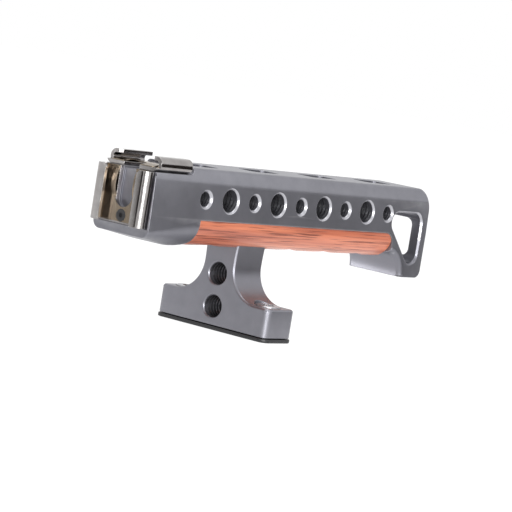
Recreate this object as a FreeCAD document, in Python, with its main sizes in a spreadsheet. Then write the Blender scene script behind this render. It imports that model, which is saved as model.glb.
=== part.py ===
import FreeCAD, Part
import math
import os

import Sketcher

# Top handle for a small cine camera, in millimetres.
# X runs along the handle towards the back, Y across it, Z up.
# The origin is the middle of the foot's underside, between the two camera screws.

V = FreeCAD.Vector

# Driving sizes: cell name and content. Places worked out from them follow at the end.
SIZES = [
    # Handle bar: one milled bar with a front block and a rear hook.
    ("body_front", "-64"),
    ("body_length", "163.1"),
    ("body_width", "26.2"),
    ("bar_under", "41"),
    ("lean_rise", "0.6"),
    ("shoulder_land", "1"),
    ("crown_height", "4.9"),
    ("shoulder_inset", "0.4"),
    ("crown_inset", "2.3"),
    ("crown_round", "1.5"),
    ("rear_top_round", "5.5"),
    ("rear_low_round", "3"),
    ("front_edge", "0.6"),
    # Front block below the bar: four sections that swell into a belly.
    ("lip_depth", "7.7"),
    ("neck_offset", "7"),
    ("neck_depth", "8.8"),
    ("belly_offset", "14.5"),
    ("belly_depth", "10"),
    ("block_overlap", "0.3"),
    # Rear hook that stops the hand.
    ("hook_drop", "16.9"),
    ("hook_reach", "8.6"),
    ("hook_arc_drop", "7.4"),
    ("hook_arc", "10"),
    ("hook_edge", "2.4"),
    # Row of cross holes, 1/4 in and 3/8 in threads by turns.
    ("hole_first", "-35.8"),
    ("hole_row_end", "26.66"),
    ("hole_rise", "7.5"),
    ("small_holes", "5"),
    ("small_bore", "5.2"),
    ("small_mouth", "6.9"),
    ("large_bore", "8"),
    ("large_mouth", "9.4"),
    # Four rounded pockets in the crown.
    ("pocket_first", "-28.8"),
    ("pocket_row_end", "23.5"),
    ("pocket_count", "4"),
    ("pocket_length", "15.4"),
    ("pocket_width", "9.4"),
    ("pocket_depth", "4.5"),
    ("pocket_round", "2.5"),
    # Strap slot through the rear end.
    ("slot_front_inset", "22.8"),
    ("slot_rear_inset", "3.9"),
    ("slot_roof", "9.9"),
    ("slot_floor", "5.7"),
    ("slot_round", "3.8"),
    ("slot_edge", "0.8"),
    # Window in the rear wall, between two struts.
    ("window_strut", "4.7"),
    ("window_rim", "2.2"),
    ("window_round", "3"),
    # Wooden grip halves under the bar, with finger scallops below.
    ("wood_front", "-37.3"),
    ("wood_rear_inset", "21.4"),
    ("wood_depth", "9.9"),
    ("wood_end_round", "4.5"),
    ("wood_gap", "0.1"),
    ("wood_split", "0.05"),
    ("scallop_first", "-23.6"),
    ("scallop_third", "21.9"),
    ("tail_run", "3.7"),
    ("scallop_rise", "0.9"),
    # Accessory shoes: folded sheet, for a foot of 18.6 by 2 mm.
    ("shoe_width", "24.2"),
    ("top_shoe_length", "18.2"),
    ("front_shoe_length", "19.8"),
    ("shoe_sheet", "1.4"),
    ("shoe_channel", "2.4"),
    ("shoe_mouth", "14.6"),
    ("rail_setback", "1.8"),
    ("shoe_cut_width", "7.2"),
    ("shoe_cut_end", "5.2"),
    ("shoe_screw_inset", "2.9"),
    ("shoe_lead", "1.2"),
    ("front_seat", "1"),
    ("front_shoe_gap", "0.1"),
    ("top_seat_drop", "2.6"),
    ("top_shoe_inset", "0.9"),
    ("seat_side_gap", "0.15"),
    ("seat_round", "2"),
    ("relief_depth", "0.9"),
    ("relief_inset", "0.3"),
    # Leaf springs that lie in the shoes.
    ("spring_sheet", "0.35"),
    ("spring_side_gap", "1.2"),
    ("spring_end_gap", "0.6"),
    ("spring_cut_width", "8"),
    ("spring_bridge", "0.9"),
    ("spring_rise", "0.7"),
    ("spring_flat", "1.5"),
    # Shoe screws, M2.5 countersunk.
    ("shoe_screw_shank", "2.5"),
    ("shoe_screw_head", "4.4"),
    ("shoe_screw_length", "6"),
    ("shoe_screw_socket", "1.5"),
    ("shoe_screw_socket_depth", "0.7"),
    # Riser: stem and foot bar milled in one, with a flange under the bar.
    ("foot_depth", "16"),
    ("foot_end", "7.05"),
    ("foot_top", "12.2"),
    ("foot_corner", "2.6"),
    ("stem_width", "14.6"),
    ("stem_arc", "12.5"),
    ("stem_top_width", "15.8"),
    ("flange_thick", "7"),
    ("flange_rim_front", "5.1"),
    ("flange_rim_rear", "5.8"),
    ("riser_edge", "0.6"),
    ("riser_hole", "8.1"),
    ("riser_hole_mouth", "9.1"),
    ("riser_hole_high", "20.6"),
    ("riser_hole_low", "8.5"),
    # Riser screws, M4 cap screws driven up into the bar.
    ("riser_screw_shank", "4"),
    ("riser_screw_head", "7"),
    ("riser_screw_head_height", "4"),
    ("riser_screw_length", "9.5"),
    ("riser_screw_socket", "3"),
    ("riser_screw_socket_depth", "2"),
    # Grip screws, M2 countersunk, driven down from the pockets.
    ("grip_screw_shank", "2"),
    ("grip_screw_head", "3.8"),
    ("grip_screw_bite", "5.4"),
    ("grip_screw_side", "2.35"),
    ("grip_screw_socket", "1.3"),
    ("grip_screw_socket_depth", "0.6"),
    # Pad under the foot.
    ("pad_thick", "1.4"),
    ("pad_rim", "0.5"),
    ("pad_round", "3.4"),
    ("pad_boss_inset", "1"),
    ("pad_boss_height", "0.3"),
    # Captive camera screws, 1/4 in, drawn back into the foot.
    ("camera_spacing", "38.1"),
    ("camera_thread", "6.35"),
    ("camera_neck", "4.6"),
    ("camera_thread_length", "3.9"),
    ("camera_neck_length", "4.5"),
    ("camera_screw_end", "0.2"),
    ("camera_head", "9.4"),
    ("camera_head_height", "4.1"),
    ("camera_socket", "4.76"),
    ("camera_socket_depth", "2.4"),
    ("camera_recess", "10"),
    ("camera_recess_floor", "4.2"),
    # Clearances.
    ("screw_clear", "0.2"),
    ("screw_break", "0.3"),
    ("flange_clear", "0.15"),
    ("cut_over", "3"),
    # Places worked out from the sizes above.
    ("body_rear", "=body_front + body_length"),
    ("body_half", "=body_width / 2"),
    ("shoulder_half", "=body_half - shoulder_inset"),
    ("crown_half", "=body_half - crown_inset"),
    ("lean_from", "=bar_under + lean_rise"),
    ("hole_height", "=bar_under + hole_rise"),
    ("shoulder_height", "=hole_height + large_mouth / 2 + shoulder_land"),
    ("body_top", "=shoulder_height + crown_height"),
    ("hook_low", "=bar_under - hook_drop"),
    ("hook_arc_top", "=bar_under - hook_arc_drop"),
    ("slot_top", "=body_top - slot_roof"),
    ("slot_low", "=hook_low + slot_floor"),
    ("top_seat", "=body_top - top_seat_drop"),
    ("front_shoe_low", "=top_seat - front_shoe_gap - front_shoe_length"),
    ("flange_under", "=bar_under - flange_thick"),
    ("wood_under", "=bar_under - wood_depth"),
    ("wood_round", "=wood_depth / 1.1"),
    ("lip_height", "=bar_under - lip_depth"),
    ("neck_height", "=bar_under - neck_depth"),
    ("belly_height", "=bar_under - belly_depth"),
    ("lip_round", "=lip_depth * 0.39"),
    ("neck_round", "=neck_depth * 0.57"),
    ("belly_round", "=belly_depth * 0.75"),
    ("wood_rear", "=body_rear - wood_rear_inset"),
    ("hook_toe", "=wood_rear + hook_reach"),
    ("slot_front", "=body_rear - slot_front_inset"),
    ("slot_rear", "=body_rear - slot_rear_inset"),
    ("hole_steps", "=small_holes * 2 - 2"),
    ("hole_pitch", "=(body_rear - hole_row_end - hole_first) / hole_steps"),
    ("pocket_pitch", "=(body_rear - pocket_row_end - pocket_first) / (pocket_count - 1)"),
    ("scallop_pitch", "=(wood_rear - wood_gap - tail_run - scallop_third) / 2.5"),
    ("window_half", "=body_half - window_strut"),
    ("window_low", "=slot_low + window_rim"),
    ("window_high", "=slot_top - window_rim"),
    ("rear_round_x", "=body_rear - rear_top_round"),
    ("rear_round_z", "=body_top - rear_top_round"),
    ("rear_low_x", "=body_rear - rear_low_round"),
    ("rear_low_z", "=hook_low + rear_low_round"),
    ("wood_end_x", "=wood_rear - wood_end_round"),
    ("wood_end_z", "=bar_under - wood_end_round"),
    ("block_top", "=bar_under + block_overlap"),
    ("neck_x", "=body_front + neck_offset"),
    ("belly_x", "=body_front + belly_offset"),
    ("all_through", "=body_length * 2"),
    ("small_pitch", "=hole_pitch * 2"),
    ("small_run", "=(small_holes - 1) * small_pitch"),
    ("large_first", "=hole_first + hole_pitch"),
    ("large_holes", "=small_holes - 1"),
    ("large_run", "=(large_holes - 1) * small_pitch"),
    ("small_chamfer", "=(small_mouth - small_bore) / 2"),
    ("large_chamfer", "=(large_mouth - large_bore) / 2"),
    ("pocket_run", "=(pocket_count - 1) * pocket_pitch"),
    ("pocket_floor", "=body_top - pocket_depth"),
    ("slot_rear_x", "=slot_rear - slot_round"),
    ("slot_front_x", "=slot_front + slot_round"),
    ("slot_top_z", "=slot_top - slot_round"),
    ("slot_low_z", "=slot_low + slot_round"),
    ("slot_run", "=slot_rear_x - slot_front_x"),
    ("slot_drop", "=slot_top_z - slot_low_z"),
    ("slot_reach", "=sqrt(slot_run ^ 2 + slot_drop ^ 2)"),
    ("slot_lean_x", "=slot_round * slot_drop / slot_reach"),
    ("slot_lean_z", "=slot_round * slot_run / slot_reach"),
    ("scallop_long", "=(scallop_third - scallop_first) / 2"),
    ("scallop_high", "=wood_under + scallop_rise"),
    ("long_finger_radius", "=scallop_long ^ 2 / (8 * scallop_rise) + scallop_rise / 2"),
    ("finger_radius", "=scallop_pitch ^ 2 / (8 * scallop_rise) + scallop_rise / 2"),
    ("scallop_second", "=scallop_first + scallop_long"),
    ("scallop_fourth", "=scallop_third + scallop_pitch"),
    ("scallop_fifth", "=scallop_fourth + scallop_pitch"),
    ("wood_tail", "=wood_under + tail_run ^ 2 / (2 * finger_radius)"),
    ("wood_half", "=body_half - wood_split"),
    ("belly_run", "=scallop_first - wood_front"),
    ("belly_radius", "=(belly_run ^ 2 + scallop_rise ^ 2) / (2 * scallop_rise)"),
    ("foot_half", "=camera_spacing / 2 + foot_end"),
    ("foot_back", "=foot_depth / 2"),
    ("pad_top", "=pad_thick + pad_boss_height"),
    ("foot_height", "=foot_top - pad_top"),
    ("stem_half", "=stem_width / 2"),
    ("stem_top_half", "=stem_top_width / 2"),
    ("stem_arc_y", "=stem_half + stem_arc"),
    ("stem_waist", "=foot_top + stem_arc"),
    ("flare_rise", "=flange_under - stem_waist"),
    ("flare_out", "=stem_top_half - stem_half"),
    ("stem_flare", "=(flare_rise ^ 2 + flare_out ^ 2) / (2 * flare_out)"),
    ("riser_chamfer", "=(riser_hole_mouth - riser_hole) / 2"),
    ("riser_head_top", "=flange_under + riser_screw_head_height"),
    ("riser_bore", "=riser_screw_shank + screw_clear"),
    ("riser_head_bore", "=riser_screw_head + screw_clear"),
    ("riser_bay", "=hole_first + hole_pitch * 1.5"),
    ("riser_screw_gap", "=hole_pitch * 2"),
    ("flange_front", "=riser_bay - flange_rim_front"),
    ("flange_rear", "=riser_bay + riser_screw_gap + flange_rim_rear"),
    ("riser_screw_top", "=riser_head_top + riser_screw_length"),
    ("front_seat_x", "=body_front + front_seat"),
    ("top_shoe_x", "=body_front + top_shoe_inset"),
    ("seat_end_low", "=top_shoe_x + top_shoe_length"),
    ("seat_end", "=seat_end_low + seat_round"),
    ("seat_end_high", "=top_seat + seat_round"),
    ("seat_half", "=shoe_width / 2 + seat_side_gap"),
    ("front_recess_low", "=front_shoe_low - seat_side_gap"),
    ("front_shoe_top", "=front_shoe_low + front_shoe_length"),
    ("shoe_half", "=shoe_width / 2"),
    ("shoe_height", "=shoe_sheet * 2 + shoe_channel"),
    ("shoe_inner_half", "=shoe_half - shoe_sheet"),
    ("shoe_fold", "=shoe_height * 0.47"),
    ("shoe_inner_fold", "=shoe_channel * 0.47"),
    ("shoe_under_lip", "=shoe_sheet + shoe_channel"),
    ("shoe_mouth_half", "=shoe_mouth / 2"),
    ("shoe_cut_half", "=shoe_cut_width / 2"),
    ("top_shoe_cut_x", "=top_shoe_length - shoe_cut_end - shoe_cut_half"),
    ("front_shoe_cut_x", "=front_shoe_length - shoe_cut_end - shoe_cut_half"),
    ("top_shoe_screw_x", "=top_shoe_length - shoe_screw_inset"),
    ("front_shoe_screw_x", "=front_shoe_length - shoe_screw_inset"),
    ("shoe_bore", "=shoe_screw_shank + screw_clear"),
    ("relief_half", "=shoe_cut_half - relief_inset"),
    ("top_spring_length", "=top_shoe_length - spring_end_gap"),
    ("front_spring_length", "=front_shoe_length - spring_end_gap"),
    ("spring_bore", "=shoe_screw_head + screw_clear - 2 * spring_sheet"),
    ("spring_sink", "=spring_sheet * 0.9"),
    ("shoe_sink", "=(spring_bore - shoe_bore) / 2"),
    ("spring_half", "=shoe_inner_half - spring_side_gap"),
    ("spring_cut_half", "=spring_cut_width / 2"),
    ("spring_cut_gap", "=spring_bore / 2 + spring_bridge + spring_cut_half"),
    ("top_spring_cut_x", "=top_shoe_screw_x - spring_cut_gap"),
    ("front_spring_cut_x", "=front_shoe_screw_x - spring_cut_gap"),
    ("spring_top", "=shoe_sheet + spring_sheet"),
    ("top_arch_run", "=top_spring_cut_x - spring_flat"),
    ("front_arch_run", "=front_spring_cut_x - spring_flat"),
    ("top_spring_arch", "=(top_arch_run ^ 2 / 4 + spring_rise ^ 2) / (2 * spring_rise)"),
    ("front_spring_arch", "=(front_arch_run ^ 2 / 4 + spring_rise ^ 2) / (2 * spring_rise)"),
    ("grip_bore", "=grip_screw_shank + screw_clear"),
    ("grip_sink", "=(grip_screw_head + screw_clear - grip_bore) / 2"),
    ("grip_first", "=hole_first + hole_pitch * 0.45"),
    ("grip_second", "=hole_first + hole_pitch * 5.55"),
    ("grip_screw_end", "=bar_under - grip_screw_bite"),
    ("grip_screw_length", "=pocket_floor - grip_screw_end"),
    ("grip_screw_socket_corner", "=grip_screw_socket / sqrt(3)"),
    ("riser_screw_socket_corner", "=riser_screw_socket / sqrt(3)"),
    ("shoe_screw_socket_corner", "=shoe_screw_socket / sqrt(3)"),
    ("camera_socket_corner", "=camera_socket / sqrt(3)"),
    ("camera_y", "=camera_spacing / 2"),
    ("camera_bore", "=camera_thread + screw_clear"),
    ("camera_neck_low", "=camera_screw_end + camera_thread_length"),
    ("camera_head_low", "=camera_neck_low + camera_neck_length"),
    ("camera_head_top", "=camera_head_low + camera_head_height"),
    ("camera_neck_end", "=camera_head_height + camera_neck_length"),
    ("camera_screw_length", "=camera_neck_end + camera_thread_length"),
]


doc = FreeCAD.newDocument("TopHandle")
sheet = doc.addObject("Spreadsheet::Sheet", "Sizes")
for row, (alias, content) in enumerate(SIZES, start=1):
    sheet.set(f"A{row}", alias)
    sheet.set(f"B{row}", content)
    sheet.setAlias(f"B{row}", alias)
doc.recompute()


def size(alias):
    """Value of one cell of the sheet."""
    return float(sheet.get(alias))


def place(terms):
    """Value of a sum of cells, such as 'a - b/2'; a bare 0 stands for zero."""
    total = 0.0
    sign = 1
    for term in terms.split():
        if term in "+-":
            sign = 1 if term == "+" else -1
            continue
        if term.startswith("-"):
            sign = -1
            term = term[1:]
        name, _, half = term.partition("/")
        total += 0.0 if name == "0" else sign * size(name) / float(half or 1)
        sign = 1
    return total


def bound(terms):
    """Expression of the same sum of cells."""
    words = []
    for term in terms.split():
        if term in "+-":
            words.append(term)
        elif term.startswith("-"):
            words.append("-Sizes." + term[1:])
        else:
            words.append("Sizes." + term)
    return " ".join(words)


def new_body(name):
    body = doc.addObject("PartDesign::Body", name)
    body.Label = name
    return body


def new_sketch(body, name, plane, offset=None):
    """Sketch on an origin plane of its own body, moved along the normal by a cell."""
    sketch = body.newObject("Sketcher::SketchObject", name)
    for item in body.Origin.OriginFeatures:
        if item.Role == plane:
            sketch.AttachmentSupport = [(item, "")]
    sketch.MapMode = "FlatFace"
    if offset:
        sketch.setExpression("AttachmentOffset.Base.z", bound(offset))
    return sketch


def pin_point(sketch, geo, pos, point):
    """Ties one sketch point to cells."""
    for kind, terms in (("DistanceX", point[0]), ("DistanceY", point[1])):
        index = sketch.addConstraint(Sketcher.Constraint(kind, -1, 1, geo, pos, place(terms)))
        if terms != "0":
            sketch.setExpression(f"Constraints[{index}]", bound(terms))


def arc_between(start, end, radius, side):
    """Arc from start to end with its centre on the left (side 1) or the right (-1)."""
    middle = (start + end) / 2
    chord = end - start
    across = V(-chord.y, chord.x, 0).normalize()
    reach = math.sqrt(max(radius ** 2 - (chord.Length / 2) ** 2, 0))
    centre = middle + across * reach * side
    first, last = (start, end) if side == 1 else (end, start)
    angles = [math.atan2(p.y - centre.y, p.x - centre.x) for p in (first, last)]
    return Part.ArcOfCircle(Part.Circle(centre, V(0, 0, 1), radius), angles[0], angles[1])


def outline(sketch, points, arcs=None):
    """Closed outline through points given as sums of cells.

    arcs maps the index of a side to (radius cell, side of its centre).
    """
    arcs = arcs or {}
    places = [V(place(a), place(b), 0) for a, b in points]
    count = len(places)
    ends = []
    for i, start in enumerate(places):
        end = places[(i + 1) % count]
        if i in arcs:
            radius, side = arcs[i]
            geo = sketch.addGeometry(arc_between(start, end, size(radius), side), False)
            ends.append((geo, 1, 2) if side == 1 else (geo, 2, 1))
        else:
            geo = sketch.addGeometry(Part.LineSegment(start, end), False)
            ends.append((geo, 1, 2))
    for i in range(count):
        geo, _, last = ends[i]
        following, first, _ = ends[(i + 1) % count]
        sketch.addConstraint(Sketcher.Constraint("Coincident", geo, last, following, first))
    for i, point in enumerate(points):
        pin_point(sketch, ends[i][0], ends[i][1], point)
    for i, (radius, _) in arcs.items():
        chord = (places[(i + 1) % count] - places[i]).Length
        if chord > 1.999 * size(radius):
            continue
        index = sketch.addConstraint(Sketcher.Constraint("Radius", ends[i][0], size(radius)))
        sketch.setExpression(f"Constraints[{index}]", bound(radius))


def rectangle(sketch, left, right, low, high):
    outline(sketch, [(left, low), (right, low), (right, high), (left, high)])


def rounded_rectangle(sketch, left, right, low, high, radius):
    outline(
        sketch,
        [
            (f"{left} + {radius}", low),
            (f"{right} - {radius}", low),
            (right, f"{low} + {radius}"),
            (right, f"{high} - {radius}"),
            (f"{right} - {radius}", high),
            (f"{left} + {radius}", high),
            (left, f"{high} - {radius}"),
            (left, f"{low} + {radius}"),
        ],
        {1: (radius, 1), 3: (radius, 1), 5: (radius, 1), 7: (radius, 1)},
    )


def circle(sketch, across, up, diameter):
    centre = V(place(across), place(up), 0)
    geo = sketch.addGeometry(Part.Circle(centre, V(0, 0, 1), size(diameter) / 2), False)
    pin_point(sketch, geo, 3, (across, up))
    index = sketch.addConstraint(Sketcher.Constraint("Diameter", geo, size(diameter)))
    sketch.setExpression(f"Constraints[{index}]", bound(diameter))


def tongue(sketch, start, end, half):
    """Slot outline along the sketch's first axis, open at start, round at end."""
    outline(
        sketch,
        [(start, "-" + half), (end, "-" + half), (end, half), (start, half)],
        {1: (half, 1)},
    )


def pad(body, name, sketch, length, midplane=False, backwards=False):
    feature = body.newObject("PartDesign::Pad", name)
    feature.Profile = sketch
    feature.setExpression("Length", bound(length))
    feature.Midplane = midplane
    feature.Reversed = backwards
    doc.recompute()
    return feature


def pocket(body, name, sketch, depth, midplane=False, backwards=False):
    """Pocket whose direction is proved by the volume that it takes away."""
    before = body.Shape.Volume
    feature = body.newObject("PartDesign::Pocket", name)
    feature.Profile = sketch
    feature.setExpression("Length", bound(depth))
    feature.Midplane = midplane
    feature.Reversed = backwards
    doc.recompute()
    if not feature.Shape.Volume < before - 1e-3:
        raise RuntimeError(f"{name} cuts nothing")
    return feature


def repeat(body, name, feature, axis, run, count):
    pattern = body.newObject("PartDesign::LinearPattern", name)
    pattern.Originals = [feature]
    for item in body.Origin.OriginFeatures:
        if item.Role == axis:
            pattern.Direction = (item, [""])
    pattern.setExpression("Length", bound(run))
    pattern.setExpression("Occurrences", bound(count))
    body.Tip = pattern
    doc.recompute()
    return pattern


def dress(body, name, kind, length, pick):
    """Fillet or chamfer on the edges of the last feature that pick accepts."""
    base = body.Tip
    edges = [f"Edge{i}" for i, edge in enumerate(base.Shape.Edges, start=1) if pick(edge)]
    if not edges:
        raise RuntimeError(f"{name} finds no edge")
    feature = body.newObject(f"PartDesign::{kind}", name)
    feature.Base = (base, edges)
    feature.setExpression("Radius" if kind == "Fillet" else "Size", bound(length))
    doc.recompute()
    if "Invalid" in feature.State or feature.Shape.isNull():
        raise RuntimeError(f"{name} fails on {edges}")
    return feature


def near(a, b, slack=0.02):
    return abs(a - b) < slack


def lies_at(edge, axis, where):
    """True where a whole edge lies in a plane square to one axis."""
    box = edge.BoundBox
    low, high = {
        "x": (box.XMin, box.XMax),
        "y": (box.YMin, box.YMax),
        "z": (box.ZMin, box.ZMax),
    }[axis]
    return near(low, where) and near(high, where)


def ring_about(edge, x, z, diameter):
    """True for the closed mouth of a cross hole round the line x, z."""
    box = edge.BoundBox
    centred = near(box.Center.x, x, 0.05) and near(box.Center.z, z, 0.05)
    return edge.isClosed() and centred and near(box.XLength, diameter, 0.05)


def make_handle_body():
    """One milled bar: shoe seats in front, cross holes, crown pockets, strap slot, hook."""
    body = new_body("handle_body")
    side = new_sketch(body, "BodySide", "XZ_Plane")
    outline(
        side,
        [
            ("body_front", "bar_under"),
            ("body_front", "body_top"),
            ("rear_round_x", "body_top"),
            ("body_rear", "rear_round_z"),
            ("body_rear", "rear_low_z"),
            ("rear_low_x", "hook_low"),
            ("hook_toe", "hook_low"),
            ("wood_rear", "hook_arc_top"),
            ("wood_rear", "wood_end_z"),
            ("wood_end_x", "bar_under"),
        ],
        {
            2: ("rear_top_round", -1),
            4: ("rear_low_round", -1),
            6: ("hook_arc", 1),
            8: ("wood_end_round", 1),
        },
    )
    pad(body, "Bar", side, "body_width", midplane=True)

    # The sides lean in above the wood, and more so above the shoulder.
    for name, sign in (("LeftLean", ""), ("RightLean", "-")):
        lean = new_sketch(body, name + "Profile", "YZ_Plane")
        outline(
            lean,
            [
                (f"{sign}body_half", "lean_from"),
                (f"{sign}shoulder_half", "shoulder_height"),
                (f"{sign}crown_half", "body_top"),
                (f"{sign}crown_half", "body_top + cut_over"),
                (f"{sign}body_half {sign or '+'} cut_over", "body_top + cut_over"),
                (f"{sign}body_half {sign or '+'} cut_over", "lean_from"),
            ],
        )
        pocket(body, name, lean, "all_through", midplane=True)

    crown = size("body_top")
    dress(
        body,
        "CrownEdges",
        "Fillet",
        "crown_round",
        lambda edge: lies_at(edge, "z", crown) and edge.BoundBox.XLength > size("pocket_pitch"),
    )
    # The front block swells from a flat lip to a belly that meets the wood.
    sections = []
    for name, along, low, rounding in (
        ("Lip", "body_front", "lip_height", "lip_round"),
        ("Neck", "neck_x", "neck_height", "neck_round"),
        ("Belly", "belly_x", "belly_height", "belly_round"),
        ("WoodEnd", "wood_front", "wood_under", "wood_round"),
    ):
        section = new_sketch(body, name + "Section", "YZ_Plane", along)
        outline(
            section,
            [
                ("-body_half", "block_top"),
                ("-body_half", f"{low} + {rounding}"),
                (f"-body_half + {rounding}", low),
                (f"body_half - {rounding}", low),
                ("body_half", f"{low} + {rounding}"),
                ("body_half", "block_top"),
            ],
            {1: (rounding, 1), 3: (rounding, 1)},
        )
        sections.append(section)
    block = body.newObject("PartDesign::AdditiveLoft", "FrontBlock")
    block.Profile = sections[0]
    block.Sections = sections[1:]
    doc.recompute()

    toe, rear = size("hook_toe"), size("wood_rear")
    dress(
        body,
        "HookEdges",
        "Fillet",
        "hook_edge",
        lambda edge: near(edge.BoundBox.XMin, rear)
        and near(edge.BoundBox.XMax, toe)
        and edge.BoundBox.YLength < size("hook_edge"),
    )

    # Strap slot: square behind, slanted in front.
    slot = new_sketch(body, "StrapSlotProfile", "XZ_Plane")
    outline(
        slot,
        [
            ("slot_front_x", "slot_top"),
            ("slot_front_x - slot_lean_x", "slot_top_z - slot_lean_z"),
            ("slot_rear_x - slot_lean_x", "slot_low_z - slot_lean_z"),
            ("slot_rear", "slot_low_z"),
            ("slot_rear", "slot_top_z"),
            ("slot_rear_x", "slot_top"),
        ],
        {
            0: ("slot_round", 1),
            2: ("slot_round", 1),
            4: ("slot_round", 1),
        },
    )
    pocket(body, "StrapSlot", slot, "all_through", midplane=True)
    dress(
        body,
        "StrapSlotEdges",
        "Chamfer",
        "slot_edge",
        lambda edge: edge.BoundBox.XMin > size("slot_front") - 0.5
        and not lies_at(edge, "x", size("wood_rear"))
        and edge.BoundBox.XMax < size("slot_rear") + 0.1
        and edge.BoundBox.ZMax < size("slot_top") + 0.1
        and edge.BoundBox.YLength < size("slot_edge")
        and edge.BoundBox.ZMin > size("slot_low") - 0.1,
    )

    window = new_sketch(body, "RearWindowProfile", "YZ_Plane", "body_rear")
    rounded_rectangle(
        window, "-window_half", "window_half", "window_low", "window_high", "window_round"
    )
    pocket(body, "RearWindow", window, "slot_rear_inset + slot_edge")

    # Seat of the top shoe: a step with a rounded end wall.
    step = new_sketch(body, "TopSeatProfile", "XZ_Plane")
    outline(
        step,
        [
            ("body_front - cut_over", "top_seat"),
            ("seat_end_low", "top_seat"),
            ("seat_end", "seat_end_high"),
            ("seat_end", "body_top + cut_over"),
            ("body_front - cut_over", "body_top + cut_over"),
        ],
        {1: ("seat_round", 1)},
    )
    pocket(body, "TopSeat", step, "all_through", midplane=True)

    # Seat of the front shoe: a shallow recess, open at the top.
    recess = new_sketch(body, "FrontSeatProfile", "YZ_Plane", "body_front")
    rectangle(recess, "-seat_half", "seat_half", "front_recess_low", "body_top + cut_over")
    pocket(body, "FrontSeat", recess, "front_seat", backwards=True)

    # Reliefs behind the open ends of both shoes.
    relief = new_sketch(body, "FrontReliefProfile", "YZ_Plane", "front_seat_x")
    outline(
        relief,
        [
            ("-relief_half", "body_top + cut_over"),
            ("-relief_half", "front_shoe_top - front_shoe_cut_x"),
            ("relief_half", "front_shoe_top - front_shoe_cut_x"),
            ("relief_half", "body_top + cut_over"),
        ],
        {1: ("relief_half", 1)},
    )
    pocket(body, "FrontRelief", relief, "relief_depth", backwards=True)
    relief = new_sketch(body, "TopReliefProfile", "XY_Plane", "top_seat")
    tongue(relief, "body_front - cut_over", "top_shoe_x + top_shoe_cut_x", "relief_half")
    pocket(body, "TopRelief", relief, "relief_depth")

    # Threads for the shoe screws.
    tapped = new_sketch(body, "FrontShoeThreadProfile", "YZ_Plane", "front_seat_x")
    circle(tapped, "0", "front_shoe_low + shoe_screw_inset", "shoe_bore")
    pocket(body, "FrontShoeThread", tapped, "shoe_screw_length", backwards=True)
    tapped = new_sketch(body, "TopShoeThreadProfile", "XY_Plane", "top_seat")
    circle(tapped, "top_shoe_x + top_shoe_screw_x", "0", "shoe_bore")
    pocket(body, "TopShoeThread", tapped, "shoe_screw_length")

    # Cross holes: small and large by turns.
    for name, first, bore, run, count in (
        ("Small", "hole_first", "small_bore", "small_run", "small_holes"),
        ("Large", "large_first", "large_bore", "large_run", "large_holes"),
    ):
        hole = new_sketch(body, name + "HoleProfile", "XZ_Plane")
        circle(hole, first, "hole_height", bore)
        cut = pocket(body, name + "Hole", hole, "all_through", midplane=True)
        repeat(body, name + "Holes", cut, "X_Axis", run, count)
    height = size("hole_height")
    for name, first, bore, count in (
        ("Small", "hole_first", "small_bore", "small_holes"),
        ("Large", "large_first", "large_bore", "large_holes"),
    ):
        places = [size(first) + i * size("small_pitch") for i in range(int(size(count)))]
        dress(
            body,
            name + "Mouths",
            "Chamfer",
            name.lower() + "_chamfer",
            lambda edge: any(ring_about(edge, x, height, size(bore)) for x in places),
        )

    # Rounded pockets in the crown.
    hollow = new_sketch(body, "CrownPocketProfile", "XY_Plane", "body_top")
    rounded_rectangle(
        hollow,
        "pocket_first - pocket_length/2",
        "pocket_first + pocket_length/2",
        "-pocket_width/2",
        "pocket_width/2",
        "pocket_round",
    )
    cut = pocket(body, "CrownPocket", hollow, "pocket_depth")
    repeat(body, "CrownPockets", cut, "X_Axis", "pocket_run", "pocket_count")

    # Bores for the riser screws and the grip screws.
    tapped = new_sketch(body, "RiserThreadProfile", "XY_Plane", "bar_under")
    for across in ("riser_bay", "riser_bay + riser_screw_gap"):
        circle(tapped, across, "0", "riser_bore")
    pocket(body, "RiserThreads", tapped, "riser_screw_top - bar_under", backwards=True)
    bores = new_sketch(body, "GripBoreProfile", "XY_Plane", "pocket_floor")
    for across in ("grip_first", "grip_second"):
        for aside in ("grip_screw_side", "-grip_screw_side"):
            circle(bores, across, aside, "grip_bore")
    pocket(body, "GripBores", bores, "pocket_floor")
    floor = size("pocket_floor")
    dress(
        body,
        "GripSinks",
        "Chamfer",
        "grip_sink",
        lambda edge: lies_at(edge, "z", floor)
        and edge.isClosed()
        and near(edge.BoundBox.XLength, size("grip_bore")),
    )
    return body


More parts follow.
